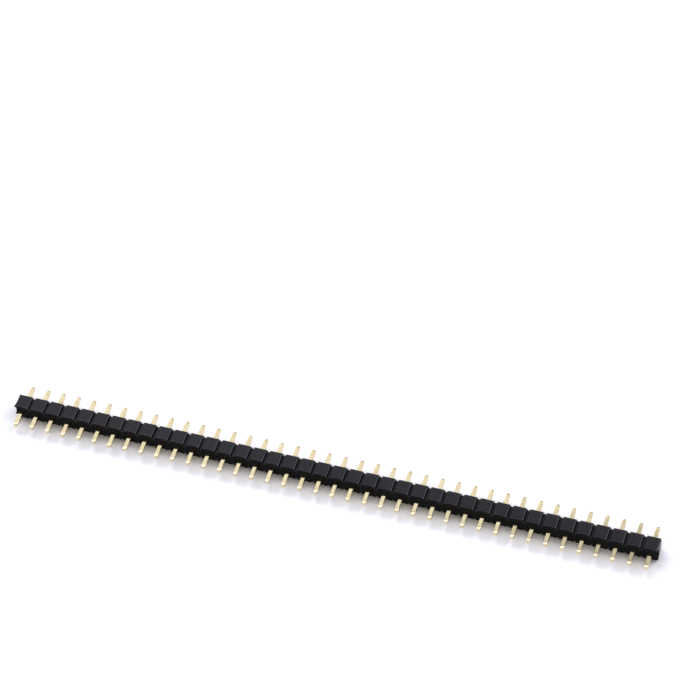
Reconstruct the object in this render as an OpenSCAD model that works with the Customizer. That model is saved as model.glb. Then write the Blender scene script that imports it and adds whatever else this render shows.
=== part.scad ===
// Single-row breakaway pin header strip, in millimetres.
// A moulded housing carries one square pin through each position. X runs along
// the row, Y along the pins and Z up. The origin is under the middle of the
// row, on the face that the strip lies on. The standoff side faces -Y.

/* [Row] */
// Number of positions, each with one pin
pin_count = 40; // [2:1:59]
// Distance from one pin to the next
pitch = 2.54; // [2.3:0.01:3.2]

/* [Housing] */
// Thickness of the housing along the pins, over the standoff lands
body_depth = 2.54; // [2:0.01:4]
// Height of the housing across the row
body_h = 2.4; // [2:0.01:3.6]
// Rounding of the housing's four long edges
edge_r = 0.12; // [0.04:0.01:0.2]

/* [Break grooves] */
// Width of a break groove at its mouth
groove_w = 0.66; // [0.4:0.01:0.9]
// Width of a break groove's floor
groove_floor_w = 0.14; // [0.06:0.01:0.3]
// Depth of a break groove, above and below alike
groove_d = 0.39; // [0.2:0.01:0.6]
// Rounding of the shoulder where a groove meets the flat
shoulder_r = 0.1; // [0.04:0.01:0.2]

/* [Standoff side] */
// Width of the land that stands between two hollows
land_w = 0.54; // [0.3:0.01:0.8]
// Depth of the hollow round each pin, behind the lands
hollow_d = 0.11; // [0.05:0.01:0.4]

/* [Left end] */
// How far back from the last break line the left end stops at its corners
left_back = 0.13; // [0.05:0.01:0.3]
// How much further back it stops half way along the pins
left_bow = 0.1; // [0.02:0.01:0.3]
// How far back the break is hollowed under its top lip
left_hollow = 0.45; // [0.35:0.01:0.6]
// Thickness of that lip
left_lip = 0.1; // [0.05:0.01:0.2]
// Height of the foot that the hollow leaves standing over the bottom groove
left_foot = 0.2; // [0.1:0.01:0.4]
// Radius of the chip out of the lower corner, on the standoff side
left_chip_r = 0.5; // [0.2:0.01:0.6]
// How deep that chip runs along the pins
left_chip_d = 0.6; // [0.2:0.01:1.2]

/* [Right end] */
// How far back from the last break line the right end's web is broken off
right_back = 0.16; // [0.05:0.01:0.25]
// How far the burr on the standoff side stands out past that line
right_burr = 0.1; // [0.02:0.01:0.2]
// Thickness of the burr along the pins
right_burr_t = 0.34; // [0.1:0.01:0.6]
// Depth of the spall out of the lower half of the break
right_spall = 0.2; // [0.05:0.01:0.3]
// Radius of the spall
right_spall_r = 1.4; // [0.8:0.1:3]

/* [Pins] */
// Width of the square wire
pin_w = 0.64; // [0.5:0.01:0.8]
// Chamfer along the wire's four edges
wire_edge = 0.04; // [0.01:0.01:0.1]
// Length that stands out of the standoff side
pin_front = 2.7; // [1.5:0.1:12]
// Length that stands out of the back
pin_back = 2.7; // [1.5:0.1:12]
// Length of the bullet nose at each end
nose_len = 0.65; // [0.3:0.01:1.2]
// Width of the flat that ends each nose
nose_w = 0.38; // [0.2:0.01:0.46]

/* [Pin seats] */
// Clearance between a pin's side and the wall of its hole
hole_gap = 0.02; // [0.01:0.01:0.04]
// Depth of the funnel that guides a pin into its hole, from the back
funnel_d = 0.15; // [0.05:0.01:0.3]
// How far the funnel opens beyond the hole on each side
funnel_out = 0.12; // [0.04:0.01:0.25]
// How far each coined wing stands out of the pin's side
wing_out = 0.06; // [0.05:0.01:0.12]
// Length of the wings along the pin
wing_len = 0.8; // [0.4:0.01:1.2]
// Thickness of the wings
wing_t = 0.34; // [0.2:0.01:0.4]
// Length of the ramp that leads each wing in
wing_ramp = 0.3; // [0.1:0.01:0.35]

/* [Hidden] */
$fn = 64;

row_len = pin_count * pitch;
pin_z = body_h / 2;                       // height of the pins' axes
body_front = -body_depth / 2;             // the plane of the standoff lands
pin_len = pin_front + body_depth + pin_back;
pin_mid = (pin_back - pin_front) / 2;     // middle of a pin's length
hole_w = pin_w + 2 * hole_gap;
over = 1;                                 // how far a cutter runs past a face

// Radius of the arc that rises by rise over the length run and starts level
function arc_r(run, rise) = (run * run + rise * rise) / (2 * rise);

function pin_x(i) = (i - (pin_count + 1) / 2) * pitch;
function break_x(i) = (i - pin_count / 2) * pitch;
function pin_name(i) = str("pin_", i < 10 ? "0" : "", i);

// Stands a flat outline, drawn as X and Z, up and runs it along Y
module along_y(length) {
  rotate([90, 0, 0]) linear_extrude(length, center = true) children();
}

// Turns a flat outline, drawn as Y and Z, and runs it along X
module along_x(length) {
  rotate([90, 0, 90]) linear_extrude(length, center = true) children();
}

// ---- Housing ----

// The housing across the row: a rectangle with round corners
module body_section() {
  for (cut = [[edge_r, 0], [0, edge_r]])
    square([body_depth - 2 * cut.x, body_h - 2 * cut.y], center = true);
  for (y = [-1, 1], z = [-1, 1])
    translate([y * (body_depth / 2 - edge_r), z * (body_h / 2 - edge_r)])
      circle(edge_r);
}

// A break groove that opens upwards, with its mouth at height 0
module groove_section() {
  mouth = groove_w / 2;
  floor_half = groove_floor_w / 2;
  slope = atan2(groove_d, mouth - floor_half);
  round_x = mouth + shoulder_r * tan(slope / 2);  // where the shoulder starts
  wall_x = round_x - shoulder_r * sin(slope);     // where it meets the wall
  wall_z = -shoulder_r * (1 - cos(slope));
  difference() {
    polygon([[-round_x, over], [-round_x, 0], [-wall_x, wall_z],
             [-floor_half, -groove_d], [floor_half, -groove_d],
             [wall_x, wall_z], [round_x, 0], [round_x, over]]);
    for (side = [-1, 1])
      translate([side * round_x, -shoulder_r]) circle(shoulder_r);
  }
}

// One groove of a break line, above (side 1) or below (side -1), from Y = start backwards
module groove(side, start = body_front - over) {
  length = body_depth + 2 * over;
  translate([0, start + length / 2, pin_z + side * body_h / 2])
    mirror([0, 0, side < 0 ? 1 : 0]) along_y(length) groove_section();
}

// The shallow hollow in the standoff side, between two lands, with a round rim
module hollow() {
  hollow_r = arc_r((pitch - land_w) / 2, hollow_d);
  translate([0, body_front + hollow_d - hollow_r, 0]) rotate_extrude() {
    translate([0, -over]) square([hollow_r, body_h + 2 * over]);
    difference() {
      translate([hollow_r / 2, -over]) square([hollow_r / 2 + edge_r, body_h + 2 * over]);
      translate([hollow_r, edge_r]) square([over, body_h - 2 * edge_r]);
      for (z = [edge_r, body_h - edge_r]) translate([hollow_r + edge_r, z]) circle(edge_r);
    }
  }
}

// The square hole for a pin, with the funnel at its back
module pin_hole() {
  translate([0, 0, pin_z]) {
    cube([hole_w, body_depth + 2 * over, hole_w], center = true);
    intersection() {
      along_x(hole_w + 4 * funnel_out) funnel_section();
      rotate([0, 90, 0]) along_x(hole_w + 4 * funnel_out) funnel_section();
    }
  }
}

// One side view of the funnel, widest just outside the back face
module funnel_section() {
  back = body_depth / 2;
  widest = hole_w / 2 + funnel_out;
  polygon([[back - funnel_d, -hole_w / 2], [back, -widest], [back + over, -widest],
           [back + over, widest], [back, widest], [back - funnel_d, hole_w / 2]]);
}

// What is missing from the left end, with X measured in from the break line
module left_break() {
  bow_r = arc_r(body_depth / 2, left_bow);
  lip_z = body_h - left_lip;                // underside of the top lip
  waist_z = pin_z + groove_d / 2;           // where the hollow starts to run out
  foot_z = groove_d + left_foot;            // where it has run out
  translate([left_back - over, -body_depth, -over])
    cube([over, 2 * body_depth, body_h + 2 * over]);
  translate([left_back + left_bow - bow_r, 0, -over])
    cylinder(r = bow_r, h = body_h + 2 * over);
  along_y(body_depth + 2 * over)
    polygon([[0, lip_z], [left_back, lip_z], [left_hollow, lip_z - left_lip],
             [left_hollow, waist_z], [left_back, foot_z], [0, foot_z]]);
  translate([left_chip_r, body_front - over, groove_d / 2]) rotate([-90, 0, 0])
    cylinder(r = left_chip_r, h = left_chip_d + over);
}

// What is missing from the right end behind the burr, with X measured out from the break line
module right_break() {
  translate([-right_back, body_front + right_burr_t, -over])
    cube([over, 2 * body_depth, body_h + 2 * over]);
  translate([right_spall_r - right_back - right_spall, 0, groove_d])
    sphere(right_spall_r);
}

// The burr at the right end, flush with the lands and thickest at its top
module burr() {
  root = -groove_w / 2 - shoulder_r;
  top = body_h - edge_r / 2;
  translate([0, body_front + right_burr_t / 2, 0]) along_y(right_burr_t)
    polygon([[root, top], [0, top], [right_burr, top - right_burr],
             [right_burr, pin_z + groove_d], [0, pin_z - groove_d], [root, pin_z - groove_d]]);
}

module housing() {
  color("#2b2b30")
  difference() {
    union() {
      translate([0, 0, pin_z]) along_x(row_len) body_section();
      translate([break_x(pin_count), 0, 0]) burr();
    }
    for (i = [0:pin_count]) translate([break_x(i), 0, 0]) groove(-1);
    for (i = [1:pin_count - 1]) translate([break_x(i), 0, 0]) groove(1);
    // The left end keeps a lip over its top groove, and the burr closes the right one's front
    translate([break_x(pin_count), 0, 0]) groove(1, body_front + right_burr_t);
    for (i = [1:pin_count]) translate([pin_x(i), 0, 0]) {
      hollow();
      pin_hole();
      wings();
    }
    translate([break_x(0), 0, 0]) left_break();
    translate([break_x(pin_count), 0, 0]) right_break();
  }
}

// ---- Pins ----

// A pin's outline from one side: a bar with a bullet nose at each end
module pin_outline() {
  drop = (pin_w - nose_w) / 2;
  nose_r = arc_r(nose_len, drop);
  bar = pin_len - 2 * nose_len;
  square([pin_w, bar], center = true);
  intersection() {
    square([pin_w, pin_len], center = true);
    for (end = [-1, 1]) translate([0, end * bar / 2]) intersection() {
      translate([pin_w / 2 - nose_r, 0]) circle(nose_r);
      translate([nose_r - pin_w / 2, 0]) circle(nose_r);
    }
  }
}

// The wire's section: a square with its edges broken
module wire_section() {
  half = pin_w / 2;
  flat_half = half - wire_edge;
  polygon([[-half, -flat_half], [-flat_half, -half], [flat_half, -half], [half, -flat_half],
           [half, flat_half], [flat_half, half], [-flat_half, half], [-half, flat_half]]);
}

// The pair of wings coined out of a pin's sides, which bite into the housing
module wings() {
  tip = pin_w / 2 + wing_out;
  front = -wing_len / 2;
  translate([0, 0, pin_z]) linear_extrude(wing_t, center = true)
    polygon([[-pin_w / 4, front], [pin_w / 4, front], [tip, front + wing_ramp],
             [tip, -front], [-tip, -front], [-tip, front + wing_ramp]]);
}

module pin(i) {
  color("#e6d39a")
  translate([pin_x(i), 0, 0]) {
    translate([0, pin_mid, pin_z]) intersection() {
      linear_extrude(pin_w, center = true) pin_outline();
      rotate([0, 90, 0]) linear_extrude(pin_w, center = true) pin_outline();
      along_y(pin_len) wire_section();
    }
    wings();
  }
}

housing();
for (i = [1:pin_count])
  pin(i);
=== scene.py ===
"""A black breakaway pin header strip with gold-coloured pins, on a white table."""
import math

import bmesh
import bpy
from mathutils import Euler, Matrix, Vector, noise


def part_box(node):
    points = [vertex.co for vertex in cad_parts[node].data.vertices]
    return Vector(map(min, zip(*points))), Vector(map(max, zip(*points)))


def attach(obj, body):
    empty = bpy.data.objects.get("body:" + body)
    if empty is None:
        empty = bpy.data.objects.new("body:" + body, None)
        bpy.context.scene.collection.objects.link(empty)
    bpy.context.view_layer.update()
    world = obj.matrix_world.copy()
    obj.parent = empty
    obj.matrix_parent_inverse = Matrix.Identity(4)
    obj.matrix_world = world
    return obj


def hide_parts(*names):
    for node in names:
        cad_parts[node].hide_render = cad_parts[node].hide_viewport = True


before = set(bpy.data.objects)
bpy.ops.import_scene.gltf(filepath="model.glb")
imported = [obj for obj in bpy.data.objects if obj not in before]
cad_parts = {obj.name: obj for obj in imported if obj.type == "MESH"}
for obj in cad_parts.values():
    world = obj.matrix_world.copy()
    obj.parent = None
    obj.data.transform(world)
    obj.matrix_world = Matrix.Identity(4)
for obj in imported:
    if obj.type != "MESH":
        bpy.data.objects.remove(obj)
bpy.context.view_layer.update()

# ---- Camera ----
# A long lens a little under half a metre off, which looks down on the strip from the
# right of its standoff side. It stands a little out of level.
camera = bpy.data.objects.new("camera", bpy.data.cameras.new("camera"))
bpy.context.scene.collection.objects.link(camera)
bpy.context.scene.camera = camera
camera.data.sensor_width = 36.0
camera.data.lens = 156.9
camera.data.clip_end = 10.0
camera.location = (0.10355, -0.26141, 0.36328)
camera.rotation_euler = Euler([math.radians(turn) for turn in (40.088, 2.579, 17.691)])

# ---- Housing ----
# One strip moulded in black glass-filled plastic, with a snap groove above and below
# each break line and a shallow hollow round each pin on the standoff side. Both ends
# were snapped off longer stock, so they are rough and hollow.
MM = 0.001
fine = 0.001 * MM               # a distance too small to count
pin_nodes = sorted(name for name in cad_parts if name.startswith("pin_"))
row_low, row_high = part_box("housing")


def pin_axis(name):
    """The middle of a pin's box."""
    low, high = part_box(name)
    return (low + high) / 2


first_pin, last_pin = pin_axis(pin_nodes[0]), pin_axis(pin_nodes[-1])
pin_count = len(pin_nodes)
pitch = (last_pin.x - first_pin.x) / (pin_count - 1)
half_pitch = pitch / 2
body_front, body_back = row_low.y, row_high.y
body_top = row_high.z
axis_z = first_pin.z
left_break_x = first_pin.x - half_pitch
right_break_x = last_pin.x + half_pitch

edge_r = 0.12 * MM
groove_mouth = 0.33 * MM        # half widths, from the break line
groove_floor = 0.07 * MM
groove_d = 0.39 * MM
shoulder_r = 0.17 * MM
groove_slope = math.atan2(groove_d, groove_mouth - groove_floor)
shoulder_x = groove_mouth + shoulder_r * math.tan(groove_slope / 2)
wall_x = shoulder_x - shoulder_r * math.sin(groove_slope)
land_half = 0.27 * MM
hollow_d = 0.11 * MM
hollow_half = half_pitch - land_half
hollow_r = (hollow_half ** 2 + hollow_d ** 2) / (2 * hollow_d)
hole_half = 0.34 * MM
hole_lip = 0.03 * MM
funnel_half = 0.46 * MM
funnel_d = 0.15 * MM
sink_d = 0.008 * MM             # how far the flats have sunk as the moulding cooled
housing_crease = math.radians(32)   # an edge that turns by more is shaded sharp

# How finely one position is divided: steps round a corner, sections on a groove's wall
# (from the break line) and on the flat (from the pin), and rows across the flat.
corner_steps = 4
wall_sections = [0.17 * MM]
flat_sections = [0.74 * MM, 0.6 * MM]
flat_rows = (0.25, 0.5, 0.75)
window_z = (axis_z - funnel_half, axis_z + funnel_half)
front_window = corner_steps + 1
back_window = 3 * (corner_steps + 1) + len(window_z) + len(flat_rows)


def groove_depth(u):
    """Depth of a snap groove at the distance u from its break line."""
    if u <= groove_floor:
        return groove_d
    if u <= wall_x:
        return groove_d * (groove_mouth - u) / (groove_mouth - groove_floor)
    if u < shoulder_x:
        return shoulder_r - math.sqrt(shoulder_r ** 2 - (shoulder_x - u) ** 2)
    return 0.0


def front_y(x):
    """The standoff side's surface at the distance x from the pin."""
    if abs(x) >= hollow_half:
        return body_front
    return body_front + math.sqrt(hollow_r ** 2 - x * x) - (hollow_r - hollow_d)


def position_columns():
    """Where the sections of one position stand, from break line to break line."""
    turns = [groove_slope * step / corner_steps for step in range(corner_steps + 1)]
    shoulder = [shoulder_x - shoulder_r * math.sin(turn) for turn in turns]
    from_break = [0.0, groove_floor] + wall_sections + [land_half] + shoulder[::-1]
    right = [half_pitch - u for u in from_break] + flat_sections + [funnel_half, funnel_half / 2]
    return [-x for x in right] + [0.0] + right[::-1]


def position_section(x, top_left_groove):
    """The outline of the housing at x, as points in Y and Z."""
    depth = groove_depth(half_pitch - abs(x))
    low = depth
    high = body_top - (depth if x > 0 or top_left_groove else 0.0)
    sink = sink_d * max(0.0, 1 - (x / (half_pitch - shoulder_x)) ** 2)
    front, back, r = front_y(x), body_back, edge_r
    rounds = []
    for y, z, start in ((front + r, low + r, 270), (front + r, high - r, 180),
                        (back - r, high - r, 90), (back - r, low + r, 0)):
        turns = [math.radians(start - 90 * step / corner_steps) for step in range(corner_steps + 1)]
        rounds.append([(y + r * math.cos(turn), z + r * math.sin(turn)) for turn in turns])
    flat = [front + r + (back - front - 2 * r) * part for part in flat_rows]
    dips = [4 * part * (1 - part) * sink for part in flat_rows]
    outline = rounds[0] + [(front, z) for z in window_z] + rounds[1]
    outline += [(y, high - dip) for y, dip in zip(flat, dips)] + rounds[2]
    outline += [(back, z) for z in window_z[::-1]] + rounds[3]
    outline += [(y, low) for y in flat[::-1]]
    return outline


def skin(shape, rings):
    """Faces from each ring of vertices to the next."""
    for near, far in zip(rings, rings[1:]):
        for step in range(len(near)):
            after = (step + 1) % len(near)
            shape.faces.new((near[step], near[after], far[after], far[step]))


def made_mesh(shape, name):
    """The shape as a mesh; the shape is used up."""
    mesh = bpy.data.meshes.new(name)
    shape.to_mesh(mesh)
    shape.free()
    return mesh


def position_mesh(name, top_left_groove=True):
    """One position of the housing, open at both break lines, with its pin hole."""
    shell = bmesh.new()
    columns = position_columns()
    rings = [[shell.verts.new((x, y, z)) for y, z in position_section(x, top_left_groove)]
             for x in columns]
    hole_columns = [number for number, x in enumerate(columns) if abs(x) < funnel_half + fine]
    for number in range(len(columns) - 1):
        left, right = rings[number], rings[number + 1]
        over_hole = number in hole_columns and number + 1 in hole_columns
        for row in range(len(left)):
            after = (row + 1) % len(left)
            if over_hole and row in (front_window, back_window):
                continue
            shell.faces.new((left[row], right[row], right[after], left[after]))

    def mouth(low_row, high_row):
        return ([rings[n][low_row] for n in hole_columns]
                + [rings[n][high_row] for n in hole_columns[::-1]])

    def ring(half, depth_at):
        xs = [columns[n] * half / funnel_half for n in hole_columns]
        return ([shell.verts.new((x, depth_at(x), axis_z - half)) for x in xs]
                + [shell.verts.new((x, depth_at(x), axis_z + half)) for x in xs[::-1]])

    skin(shell, [mouth(front_window, front_window + 1),
                 ring(hole_half + hole_lip, front_y),
                 ring(hole_half, lambda x: front_y(x) + hole_lip),
                 ring(hole_half, lambda x: body_back - funnel_d),
                 mouth(back_window + 1, back_window)])
    return made_mesh(shell, name)


def row_tree():
    """A node tree that sets its geometry out along a row, each a little off true."""
    tree = bpy.data.node_groups.new("set_out_in_row", "GeometryNodeTree")
    inputs = (("Geometry", "NodeSocketGeometry"), ("Count", "NodeSocketInt"),
              ("Pitch", "NodeSocketFloat"), ("Start", "NodeSocketVector"),
              ("Tilt", "NodeSocketVector"), ("Seed", "NodeSocketInt"),
              ("Weld", "NodeSocketFloat"), ("Material", "NodeSocketMaterial"))
    for label, kind in inputs:
        tree.interface.new_socket(name=label, in_out="INPUT", socket_type=kind)
    tree.interface.new_socket(name="Geometry", in_out="OUTPUT", socket_type="NodeSocketGeometry")
    add = tree.nodes.new
    given, result = add("NodeGroupInput"), add("NodeGroupOutput")
    step = add("ShaderNodeCombineXYZ")
    line = add("GeometryNodeMeshLine")
    tilt, other_way = add("FunctionNodeRandomValue"), add("ShaderNodeVectorMath")
    tilt.data_type = "FLOAT_VECTOR"
    other_way.operation = "SCALE"
    other_way.inputs["Scale"].default_value = -1.0
    place = add("GeometryNodeInstanceOnPoints")
    real = add("GeometryNodeRealizeInstances")
    join = add("GeometryNodeMergeByDistance")
    paint = add("GeometryNodeSetMaterial")
    link = tree.links.new
    link(given.outputs["Pitch"], step.inputs["X"])
    link(given.outputs["Count"], line.inputs["Count"])
    link(given.outputs["Start"], line.inputs["Start Location"])
    link(step.outputs["Vector"], line.inputs["Offset"])
    link(given.outputs["Tilt"], tilt.inputs["Max"])
    link(given.outputs["Tilt"], other_way.inputs[0])
    link(other_way.outputs["Vector"], tilt.inputs["Min"])
    link(given.outputs["Seed"], tilt.inputs["Seed"])
    link(line.outputs["Mesh"], place.inputs["Points"])
    link(given.outputs["Geometry"], place.inputs["Instance"])
    link(tilt.outputs["Value"], place.inputs["Rotation"])
    link(place.outputs["Instances"], real.inputs["Geometry"])
    link(real.outputs["Geometry"], join.inputs["Geometry"])
    link(given.outputs["Weld"], join.inputs["Distance"])
    link(join.outputs["Geometry"], paint.inputs["Geometry"])
    link(given.outputs["Material"], paint.inputs["Material"])
    link(paint.outputs["Geometry"], result.inputs["Geometry"])
    return tree


in_row = row_tree()


def new_object(name, mesh):
    """An object for a mesh, in the scene and at the origin."""
    piece = bpy.data.objects.new(name, mesh)
    bpy.context.scene.collection.objects.link(piece)
    return piece


def finished_mesh(piece, name):
    """The object's mesh with its modifiers worked in; the object is used up."""
    bpy.context.view_layer.update()
    seen = piece.evaluated_get(bpy.context.evaluated_depsgraph_get())
    mesh = bpy.data.meshes.new_from_object(seen)
    mesh.name = name
    bpy.data.objects.remove(piece)
    return mesh


def set_out(name, mesh, **values):
    """The mesh repeated along the row by the node tree, as one plain mesh."""
    piece = new_object(name, mesh)
    modifier = piece.modifiers.new("row", "NODES")
    modifier.node_group = in_row
    for socket in in_row.interface.items_tree:
        if socket.in_out == "INPUT" and socket.name in values:
            modifier[socket.identifier] = values[socket.name]
    return finished_mesh(piece, name)


def moulded_plastic(name, dark, light, gloss_range, specular, grain_depth):
    """Black glass-filled plastic, with sink mottling and a fine moulded grain."""
    material = bpy.data.materials.new(name)
    material.use_nodes = True
    nodes, link = material.node_tree.nodes, material.node_tree.links.new
    shader = nodes["Principled BSDF"]
    shader.inputs["IOR"].default_value = 1.45
    shader.inputs["Specular Tint"].default_value = (0.9, 0.9, 1, 1)
    shader.inputs["Specular IOR Level"].default_value = specular
    place = nodes.new("ShaderNodeTexCoord")
    mottle = nodes.new("ShaderNodeTexNoise")
    mottle.inputs["Scale"].default_value = 900.0
    mottle.inputs["Detail"].default_value = 3.0
    grain = nodes.new("ShaderNodeTexNoise")
    grain.inputs["Scale"].default_value = 9000.0
    grain.inputs["Detail"].default_value = 2.0
    tone = nodes.new("ShaderNodeValToRGB")
    tone.color_ramp.elements[0].position = 0.3
    tone.color_ramp.elements[0].color = dark
    tone.color_ramp.elements[1].position = 0.75
    tone.color_ramp.elements[1].color = light
    gloss = nodes.new("ShaderNodeMapRange")
    gloss.inputs["To Min"].default_value, gloss.inputs["To Max"].default_value = gloss_range
    bump = nodes.new("ShaderNodeBump")
    bump.inputs["Strength"].default_value = grain_depth
    bump.inputs["Distance"].default_value = 0.01 * MM
    for texture in (mottle, grain):
        link(place.outputs["Object"], texture.inputs["Vector"])
    link(mottle.outputs["Fac"], tone.inputs["Fac"])
    link(mottle.outputs["Fac"], gloss.inputs["Value"])
    link(grain.outputs["Fac"], bump.inputs["Height"])
    link(tone.outputs["Color"], shader.inputs["Base Color"])
    link(gloss.outputs["Result"], shader.inputs["Roughness"])
    link(bump.outputs["Normal"], shader.inputs["Normal"])
    return material


# The left end: a face that bows in, hollow under a lip along the top, with a foot above
# the bottom groove and a chip out of its lower corner on the standoff side.
left_back = 0.13 * MM
left_bow = 0.1 * MM
left_hollow = 0.45 * MM
left_slope = 3.2                # how fast the hollow under the lip runs in, going down
lip_z = body_top - 0.1 * MM
waist_z = axis_z + groove_d / 2
foot_z = groove_d + 0.2 * MM
chip_r = 0.5 * MM
chip_y = body_front + 0.6 * MM
chip_z = groove_d / 2
chip_top = chip_z + chip_r

# The right end: a web broken off short, with a spall out of its lower half and a burr
# on the standoff side.
right_back = 0.16 * MM
right_burr = 0.1 * MM
burr_stock = 1.5 * right_burr   # what the burr is torn out of
burr_y = body_front + 0.34 * MM
burr_top = body_top - edge_r / 2
spall_d = 0.2 * MM
spall_r = 1.4 * MM

grain_d = 0.036 * MM            # depth of the torn plastic's grain
grain_scale = 6000              # and how close it is
cut_clear = 1.0 * MM            # how far a cutter runs past the strip
cut_clear_z = 0.5 * MM          # and how far above and below it
cut_count_y = 48                # how many places across and up a torn face it follows
left_cut_count_z = 64
right_cut_count_z = 56


def torn(y, z, seed):
    """How deep the torn plastic's grain goes at a point of a broken face."""
    return grain_d * (0.5 + 0.5 * noise.noise(Vector((y * grain_scale, z * grain_scale, seed))))


def left_face(y, z):
    """Where the left end's face lies along X."""
    depth = left_back + left_bow * (1 - min(1.0, (y / body_back) ** 2))
    if waist_z <= z <= lip_z:
        depth = max(depth, min(left_hollow, left_back + (lip_z - z) * left_slope))
    elif foot_z < z < waist_z:
        depth = max(depth, left_back + (left_hollow - left_back) * (z - foot_z) / (waist_z - foot_z))
    if y < chip_y and z < chip_top:
        rise = max(0.0, z - chip_z)
        depth = max(depth, chip_r + math.sqrt(chip_r ** 2 - rise ** 2))
    return left_break_x + depth + torn(y, z, 1)


def right_face(y, z):
    """Where the right end's face lies along X."""
    if y < burr_y:
        out = min(right_burr, max(-right_burr, burr_top - z))
        if z < axis_z + groove_d:
            out = max(0.0, right_burr * (z - axis_z + groove_d) / (2 * groove_d))
        return right_break_x + out - torn(y, z, 2) / 2
    reach = spall_r ** 2 - y ** 2 - (z - groove_d) ** 2
    spall = math.sqrt(max(0.0, reach)) - (spall_r - spall_d)
    return right_break_x - right_back - max(0.0, spall) - torn(y, z, 2)


def cutter(name, face, outside, ys, zs):
    """A block whose inner side is the torn face and whose outer side is at outside."""
    block = bmesh.new()
    inner = [[block.verts.new((face(y, z), y, z)) for z in zs] for y in ys]
    outer = [[block.verts.new((outside, y, z)) for z in zs] for y in ys]
    last_y, last_z = len(ys) - 1, len(zs) - 1
    for sheet in (inner, outer):
        for j in range(last_y):
            for k in range(last_z):
                block.faces.new((sheet[j][k], sheet[j + 1][k], sheet[j + 1][k + 1], sheet[j][k + 1]))
    for j in range(last_y):
        for k in (0, last_z):
            block.faces.new((inner[j][k], inner[j + 1][k], outer[j + 1][k], outer[j][k]))
    for k in range(last_z):
        for j in (0, last_y):
            block.faces.new((inner[j][k], inner[j][k + 1], outer[j][k + 1], outer[j][k]))
    bmesh.ops.recalc_face_normals(block, faces=block.faces)
    return new_object(name, made_mesh(block, name))


def spread(low, high, count, steps_at=()):
    """Evenly spaced places in order, with one more on each side of every step."""
    even = [low + (high - low) * n / (count - 1) for n in range(count)]
    return sorted(even + [step + side for step in steps_at for side in (-fine, fine)])


plastic = moulded_plastic("moulded_plastic", dark=(0.0035, 0.0035, 0.0045, 1),
                          light=(0.0055, 0.0055, 0.007, 1), gloss_range=(0.18, 0.28),
                          specular=0.5, grain_depth=0.25)
matt_plastic = moulded_plastic("matt_plastic", dark=(0.003, 0.0034, 0.0026, 1),
                               light=(0.0045, 0.005, 0.004, 1), gloss_range=(0.6, 0.75),
                               specular=0.2, grain_depth=0.6)
middle = set_out("middle_positions", position_mesh("position"), Count=pin_count - 2, Pitch=pitch,
                 Start=(first_pin.x + pitch, 0, 0), Weld=fine, Material=plastic)
strip = bmesh.new()
strip.from_mesh(middle)
for mesh, x in ((position_mesh("first_position", top_left_groove=False), first_pin.x),
                (position_mesh("last_position"), last_pin.x)):
    mesh.transform(Matrix.Translation((x, 0, 0)))
    strip.from_mesh(mesh)
bmesh.ops.remove_doubles(strip, verts=strip.verts, dist=fine)
bmesh.ops.holes_fill(strip, edges=[edge for edge in strip.edges if edge.is_boundary], sides=0)
bmesh.ops.recalc_face_normals(strip, faces=strip.faces)
housing = new_object("housing_strip", made_mesh(strip, "housing_strip"))

burr_block = cutter("burr_block", lambda y, z: right_break_x - groove_mouth - shoulder_r,
                    right_break_x + burr_stock, [body_front, burr_y],
                    [axis_z - groove_d, burr_top])
cut_y = (body_front - cut_clear, body_back + cut_clear)
cut_z = (-cut_clear_z, body_top + cut_clear_z)
left_cutter = cutter("left_cutter", left_face, left_break_x - cut_clear,
                     spread(*cut_y, cut_count_y, [chip_y]),
                     spread(*cut_z, left_cut_count_z, [lip_z, chip_top]))
right_cutter = cutter("right_cutter", right_face, right_break_x + cut_clear,
                      spread(*cut_y, cut_count_y, [burr_y]), spread(*cut_z, right_cut_count_z))
for tool, way in ((burr_block, "UNION"), (left_cutter, "DIFFERENCE"), (right_cutter, "DIFFERENCE")):
    cut = housing.modifiers.new(tool.name, "BOOLEAN")
    cut.object = tool
    cut.operation = way
    cut.solver = "EXACT"
housing_mesh = finished_mesh(housing, "housing_strip")
for tool in (burr_block, left_cutter, right_cutter):
    bpy.data.objects.remove(tool)

# The matt finish is on the faces that the pins stand out of, which look along Y.
least_along_y = 0.8
housing_mesh.materials.clear()
housing_mesh.materials.append(plastic)
housing_mesh.materials.append(matt_plastic)
for face in housing_mesh.polygons:
    face.material_index = int(abs(face.normal.y) > least_along_y)
    face.use_smooth = True
housing_mesh.set_sharp_from_angle(angle=housing_crease)
housing = new_object("housing_strip", housing_mesh)
housing.modifiers.new("even_shading", "WEIGHTED_NORMAL").keep_sharp = True
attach(housing, "root")
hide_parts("housing")

# ---- Pins ----
# Straight lengths of square wire with pressed bullet noses, gold flashed over nickel
# after they were cut, and pushed through the housing from the back.
pin_low, pin_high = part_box(pin_nodes[0])
wire_half = (pin_high.z - pin_low.z) / 2
wing_reach = (pin_high.x - pin_low.x) / 2
tilt_room = 0.003 * MM          # a tilted pin still stays inside the box
pin_half = (pin_high.y - pin_low.y) / 2 - tilt_room
pin_y = (pin_high.y + pin_low.y) / 2
pin_tilt = (0.25, 0.25, 0.35)   # degrees, at most
wire_edge = 0.04 * MM           # a flat chamfer
nose_edge = 0.11 * MM           # the wire's corners are pressed round towards the tip
nose_len = 0.65 * MM
nose_half = 0.19 * MM
nose_r = (nose_len ** 2 + (wire_half - nose_half) ** 2) / (2 * (wire_half - nose_half))
nose_steps = 9
tip_r = 0.035 * MM
tip_edge = 0.9 * nose_edge
wing_half_len = 0.4 * MM
wing_ramp = 0.3 * MM
wing_half_t = 0.17 * MM
pin_crease = math.radians(35)


def wire_half_at(back):
    """Half the wire's width, at the distance back from where the nose starts."""
    if back <= 0:
        return wire_half
    return math.sqrt(nose_r ** 2 - back ** 2) - (nose_r - wire_half)


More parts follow.
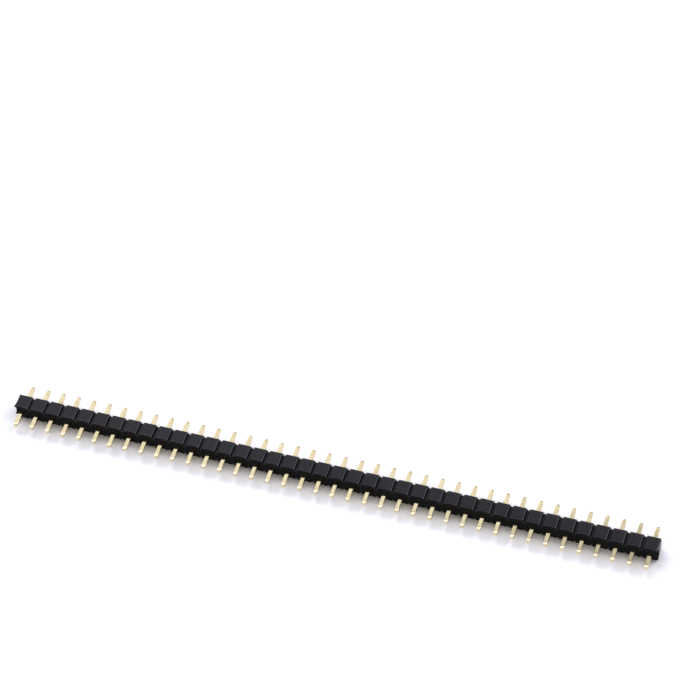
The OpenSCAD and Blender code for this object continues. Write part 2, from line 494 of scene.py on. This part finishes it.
def wire_corner(half, edge, roundness):
    """Four points round the wire's upper right corner, from a flat chamfer to an arc."""
    corner = []
    for part in (0.0, 1 / 3, 2 / 3, 1.0):
        angle = math.pi / 2 * part
        across = 1 - part + (math.cos(angle) - 1 + part) * roundness
        up = part + (math.sin(angle) - part) * roundness
        corner.append((half - edge + edge * across, half - edge + edge * up))
    return corner


def wire_section(half, edge, roundness, wing):
    """The wire's outline, with the two wings on its sides."""
    half_t = min(wing_half_t, half - edge)
    side = [(half, -half_t), (half + wing, -half_t), (half + wing, half_t), (half, half_t)]
    corner = wire_corner(half, edge, roundness)
    right = side + corner
    left = [(-x, -z) for x, z in right]
    low_right = [(x, -z) for x, z in corner[::-1]]
    high_left = [(-x, z) for x, z in corner[::-1]]
    return right + high_left + left + low_right


def pin_stations():
    """The sections along a pin: where each is, and its half width, edge, roundness and wing."""
    nose = []
    for turn in (0, 30, 60):
        across, along = math.sin(math.radians(turn)), math.cos(math.radians(turn))
        nose.append((pin_half - tip_r * (1 - along), nose_half - tip_r * (1 - across), tip_edge, 1.0, 0.0))
    for step in range(nose_steps, -1, -1):
        part = step / nose_steps
        back = (nose_len - tip_r) * part
        edge = wire_edge + (nose_edge - wire_edge) * part
        nose.append((pin_half - nose_len + back, wire_half_at(back), edge, part, 0.0))
    wing = wing_reach - wire_half
    wings = [(y, wire_half, wire_edge, 0.0, out)
             for y, out in ((wing_half_len, 0.0), (wing_half_len, wing),
                            (wing_ramp - wing_half_len, wing), (-wing_half_len, 0.0))]
    return nose + wings + [(-y, *shape) for y, *shape in nose[::-1]]


def pin_mesh(name):
    """One pin about the origin, along Y."""
    pin = bmesh.new()
    skin(pin, [[pin.verts.new((x, y, z)) for x, z in wire_section(*shape)]
               for y, *shape in pin_stations()])
    bmesh.ops.remove_doubles(pin, verts=pin.verts, dist=fine)
    bmesh.ops.holes_fill(pin, edges=[edge for edge in pin.edges if edge.is_boundary], sides=0)
    bmesh.ops.recalc_face_normals(pin, faces=pin.faces)
    return made_mesh(pin, name)


def gold_flash():
    """A thin pale gold plate on drawn wire: bright, with faint lines along the wire."""
    material = bpy.data.materials.new("gold_flash")
    material.use_nodes = True
    nodes, link = material.node_tree.nodes, material.node_tree.links.new
    shader = nodes["Principled BSDF"]
    shader.inputs["Metallic"].default_value = 1.0
    place = nodes.new("ShaderNodeTexCoord")
    stretch = nodes.new("ShaderNodeMapping")
    stretch.inputs["Scale"].default_value = (9000.0, 300.0, 9000.0)
    lines = nodes.new("ShaderNodeTexNoise")
    lines.inputs["Scale"].default_value = 1.0
    lines.inputs["Detail"].default_value = 3.0
    patches = nodes.new("ShaderNodeTexNoise")
    patches.inputs["Scale"].default_value = 700.0
    tone = nodes.new("ShaderNodeValToRGB")
    tone.color_ramp.elements[0].position = 0.3
    tone.color_ramp.elements[0].color = (0.81, 0.68, 0.425, 1)
    tone.color_ramp.elements[1].position = 0.7
    tone.color_ramp.elements[1].color = (0.91, 0.80, 0.55, 1)
    gloss = nodes.new("ShaderNodeMapRange")
    gloss.inputs["To Min"].default_value = 0.06
    gloss.inputs["To Max"].default_value = 0.14
    bump = nodes.new("ShaderNodeBump")
    bump.inputs["Strength"].default_value = 0.2
    bump.inputs["Distance"].default_value = 0.005 * MM
    link(place.outputs["Object"], stretch.inputs["Vector"])
    link(stretch.outputs["Vector"], lines.inputs["Vector"])
    link(place.outputs["Object"], patches.inputs["Vector"])
    link(patches.outputs["Fac"], tone.inputs["Fac"])
    link(lines.outputs["Fac"], gloss.inputs["Value"])
    link(lines.outputs["Fac"], bump.inputs["Height"])
    link(tone.outputs["Color"], shader.inputs["Base Color"])
    link(gloss.outputs["Result"], shader.inputs["Roughness"])
    link(bump.outputs["Normal"], shader.inputs["Normal"])
    return material


pins_mesh = set_out("pins", pin_mesh("pin"), Count=pin_count, Pitch=pitch,
                    Start=(first_pin.x, pin_y, axis_z), Seed=7,
                    Tilt=[math.radians(angle) for angle in pin_tilt], Weld=0.0, Material=gold_flash())
for face in pins_mesh.polygons:
    face.use_smooth = True
pins_mesh.set_sharp_from_angle(angle=pin_crease)
pins = new_object("pins", pins_mesh)
pins.modifiers.new("even_shading", "WEIGHTED_NORMAL").keep_sharp = True
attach(pins, "root")
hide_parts(*pin_nodes)

# ---- Table ----
# A plain white table top, which the strip lies on and throws a soft shadow on. It is a
# little whiter to look at than in the light that it throws back.
table_half = 1.5
table_z = -0.01 * MM            # a hair below the strip, so that the two never share a surface
table_whites = (0.9, 1.22, 1.0)  # for lighting, for the camera and glass, and for reflections
table_corners = [(x * table_half, y * table_half, table_z) for x, y in ((-1, -1), (1, -1), (1, 1), (-1, 1))]
table_mesh = bpy.data.meshes.new("table")
table_mesh.from_pydata(table_corners, [], [(0, 1, 2, 3)])
table = new_object("table", table_mesh)


def shown_by_ray(nodes, link, shaders, surface):
    """Join shaders for lighting, for the camera and glass, and for reflections."""
    lighting, seen, mirrored = shaders
    path, clear_view = nodes.new("ShaderNodeLightPath"), nodes.new("ShaderNodeMath")
    clear_view.operation = "MAXIMUM"
    link(path.outputs["Is Camera Ray"], clear_view.inputs[0])
    link(path.outputs["Is Transmission Ray"], clear_view.inputs[1])
    for factor, shader in ((clear_view.outputs["Value"], seen), (path.outputs["Is Glossy Ray"], mirrored)):
        mix = nodes.new("ShaderNodeMixShader")
        link(factor, mix.inputs["Fac"])
        link(lighting, mix.inputs[1])
        link(shader, mix.inputs[2])
        lighting = mix.outputs["Shader"]
    link(lighting, surface)


def table_white():
    """A matt white, with one level for each way that it is met."""
    material = bpy.data.materials.new("table_white")
    material.use_nodes = True
    nodes, link = material.node_tree.nodes, material.node_tree.links.new
    nodes.remove(nodes["Principled BSDF"])
    whites = []
    for level in table_whites:
        matt = nodes.new("ShaderNodeBsdfDiffuse")
        matt.inputs["Color"].default_value = (level, level, level, 1)
        whites.append(matt.outputs["BSDF"])
    shown_by_ray(nodes, link, whites, nodes["Material Output"].inputs["Surface"])
    return material


table_mesh.materials.append(table_white())

# ---- Light ----
# A soft ceiling panel, two more panels behind the strip with a gap between them, and a
# plain white room. Each panel's middle is a metre off the line of the strip.
panel_colour = (0.92, 0.93, 1.06)


def soft_light(name, left, right, lean, depth, level):
    """A panel from left to right along the strip, leaning back by the angle lean."""
    width = right - left
    lamp = bpy.data.lights.new(name, "AREA")
    lamp.shape = "RECTANGLE"
    lamp.size = width
    lamp.size_y = depth
    lamp.energy = level * math.pi * width * depth
    lamp.color = panel_colour
    panel = bpy.data.objects.new(name, lamp)
    bpy.context.scene.collection.objects.link(panel)
    panel.location = ((left + right) / 2, math.sin(lean), math.cos(lean))
    panel.rotation_euler = (-lean, 0, 0)
    return panel


soft_light("ceiling", left=-1.5, right=1.5, lean=math.radians(14), depth=0.33, level=1.28)
left_panel = soft_light("left_panel", left=-2.4, right=-0.1, lean=math.radians(36), depth=0.5, level=3.85)
left_panel.visible_glossy = False
soft_light("right_panel", left=0.3, right=2.2, lean=math.radians(36), depth=0.5, level=3.55)


def room_patch(nodes, link, centre, size, outer, inner, level):
    """A soft-edged patch of the room, at the given level in its middle and at 1 outside it."""
    place, turn = nodes.new("ShaderNodeTexCoord"), nodes.new("ShaderNodeMapping")
    patch, shade = nodes.new("ShaderNodeTexGradient"), nodes.new("ShaderNodeValToRGB")
    turn.vector_type = "TEXTURE"
    turn.inputs["Location"].default_value = centre
    turn.inputs["Scale"].default_value = size
    patch.gradient_type = "SPHERICAL"
    shade.color_ramp.elements[0].position = outer
    shade.color_ramp.elements[0].color = (1, 1, 1, 1)
    shade.color_ramp.elements[1].position = inner
    shade.color_ramp.elements[1].color = (level, level, level, 1)
    link(place.outputs["Generated"], turn.inputs["Vector"])
    link(turn.outputs["Vector"], patch.inputs["Vector"])
    link(patch.outputs["Fac"], shade.inputs["Fac"])
    return shade.outputs["Color"]


def studio_room():
    """White all round, dimmer for reflections between the panels, in front and behind."""
    world = bpy.data.worlds.new("room")
    world.use_nodes = True
    nodes, link = world.node_tree.nodes, world.node_tree.links.new
    surroundings = nodes["Background"]
    backdrop, room = nodes.new("ShaderNodeBackground"), nodes.new("ShaderNodeBackground")
    surroundings.inputs["Color"].default_value = (1, 0.98, 0.97, 1)
    surroundings.inputs["Strength"].default_value = 0.25
    backdrop.inputs["Color"].default_value = (1, 1, 1, 1)
    shade = room_patch(nodes, link, centre=(0.08, 0.47, 0.88), size=(0.364, 0.2, 0.2),
                       outer=0.09, inner=0.12, level=0.4)
    dim_front = room_patch(nodes, link, centre=(-0.2, -0.62, 0.75), size=(0.6, 0.6, 0.5),
                           outer=0.02, inner=0.35, level=0.5)
    dim_back = room_patch(nodes, link, centre=(0.3, 0.95, 0.1), size=(1.0, 0.5, 0.6),
                          outer=0.02, inner=0.35, level=0.62)
    for patch in (dim_front, dim_back):
        both = nodes.new("ShaderNodeVectorMath")
        both.operation = "MULTIPLY"
        link(shade, both.inputs[0])
        link(patch, both.inputs[1])
        shade = both.outputs["Vector"]
    link(shade, room.inputs["Color"])
    shown_by_ray(nodes, link, [node.outputs["Background"] for node in (surroundings, backdrop, room)],
                 nodes["World Output"].inputs["Surface"])
    return world


bpy.context.scene.world = studio_room()
bpy.context.scene.view_settings.view_transform = "Standard"
